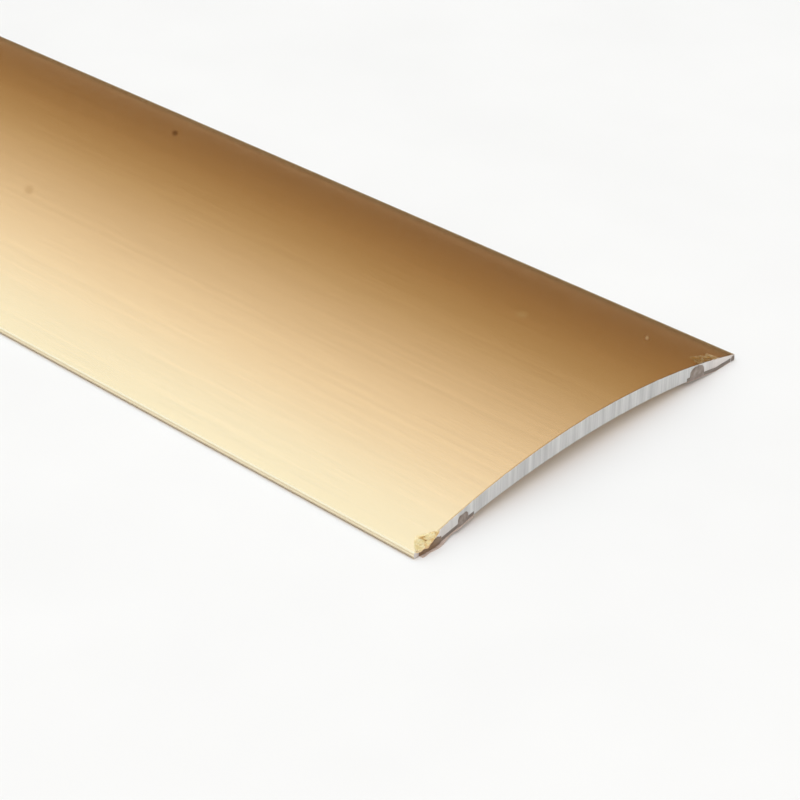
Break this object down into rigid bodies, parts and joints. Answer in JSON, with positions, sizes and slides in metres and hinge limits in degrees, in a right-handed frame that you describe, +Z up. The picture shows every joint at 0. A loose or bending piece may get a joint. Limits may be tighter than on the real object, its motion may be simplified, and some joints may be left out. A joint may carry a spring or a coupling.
{
  "type": "threshold strip",
  "caption": "Wide low-arched threshold strip of gold anodised aluminium with adhesive tape and release liners under its edges and a clear protective film on top.",
  "frame": {"origin": "middle of the strip's length and width, in the plane of the release liners that it lies on", "axes": "+X along the strip, +Y across it from the front edge to the rear edge, +Z up out of the floor"},
  "size_m": [0.9, 0.0802, 0.0067],
  "materials": {
    "gold_anodised_aluminium": "satin gold anodising, finely brushed along the strip, bare silver metal on the two saw-cut ends",
    "foam_tape": "brown-grey closed-cell foam with tacky adhesive on both faces, matte",
    "liner_paper": "light pinkish-brown siliconised paper, slightly satin",
    "clear_film": "thin clear polyethylene film, glossy"
  },
  "bodies": {
    "strip": {"cover_profile": "gold_anodised_aluminium", "adhesive_tape_front": "foam_tape", "adhesive_tape_rear": "foam_tape"},
    "front_liner": {"release_liner_front": "liner_paper"},
    "rear_liner": {"release_liner_rear": "liner_paper"},
    "film": {"protective_film": "clear_film"}
  },
  "joints": [
    {"name": "front_liner_peel", "type": "slide", "parent": "strip", "child": "front_liner", "axis": [1, 0, 0], "range_m": [0, 0.92]},
    {"name": "rear_liner_peel", "type": "slide", "parent": "strip", "child": "rear_liner", "axis": [1, 0, 0], "range_m": [0, 0.92]},
    {"name": "film_peel", "type": "slide", "parent": "strip", "child": "film", "axis": [0, 0, 1], "range_m": [0, 0.04]}
  ]
}
